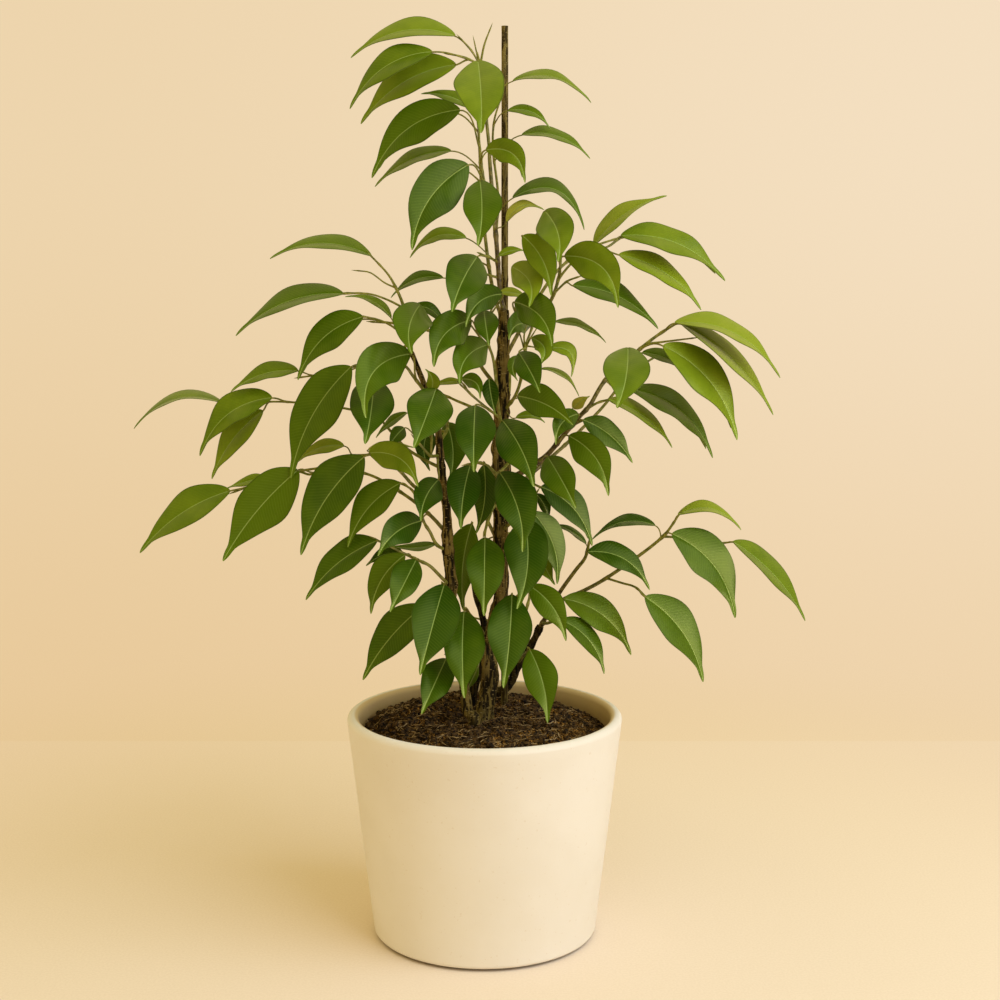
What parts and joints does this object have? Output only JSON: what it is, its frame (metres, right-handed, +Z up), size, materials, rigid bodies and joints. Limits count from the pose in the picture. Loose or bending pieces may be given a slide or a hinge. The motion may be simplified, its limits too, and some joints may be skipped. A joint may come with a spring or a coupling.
{
  "type": "potted weeping fig",
  "caption": "Young weeping fig with woody stems, arching twigs of pointed green leaves and a support cane, planted in a plain tapered ceramic pot.",
  "frame": {"origin": "centre of the pot's flat foot, on the surface that it stands on", "axes": "+Z up the plant, -Y towards the viewer of the picture, +X to the viewer's right"},
  "size_m": [0.4589, 0.2526, 0.6239],
  "materials": {
    "pot": "satin",
    "soil": "matte",
    "cane": "matte",
    "stem": "matte",
    "leaf": "satin"
  },
  "bodies": {
    "root": {"back_left_high": "leaf", "back_left_low": "leaf", "back_left_stem": "stem", "back_low": "leaf", "back_middle": "leaf", "back_right": "leaf", "back_right_low": "leaf", "back_top": "leaf", "back_top_right": "leaf", "cane": "cane", "front_centre": "leaf", "front_foot": "leaf", "front_left": "leaf", "front_low": "leaf", "front_right": "leaf", "inner_left_shoot": "leaf", "inner_right_shoot": "leaf", "leader_shoot": "leaf", "left_base": "leaf", "left_centre": "leaf", "left_crown": "leaf", "left_far": "leaf", "left_inner": "leaf", "left_low": "leaf", "left_middle": "leaf", "left_shade": "leaf", "left_stem": "stem", "lower_left": "leaf", "lower_left_foot": "leaf", "lower_right_branch": "leaf", "main_stem": "stem", "pot": "pot", "right_foot": "leaf", "right_stem": "stem", "shade_low": "leaf", "shade_right": "leaf", "soil": "soil", "upper_right_branch": "leaf", "upper_right_shoot": "leaf"}
  },
  "joints": []
}
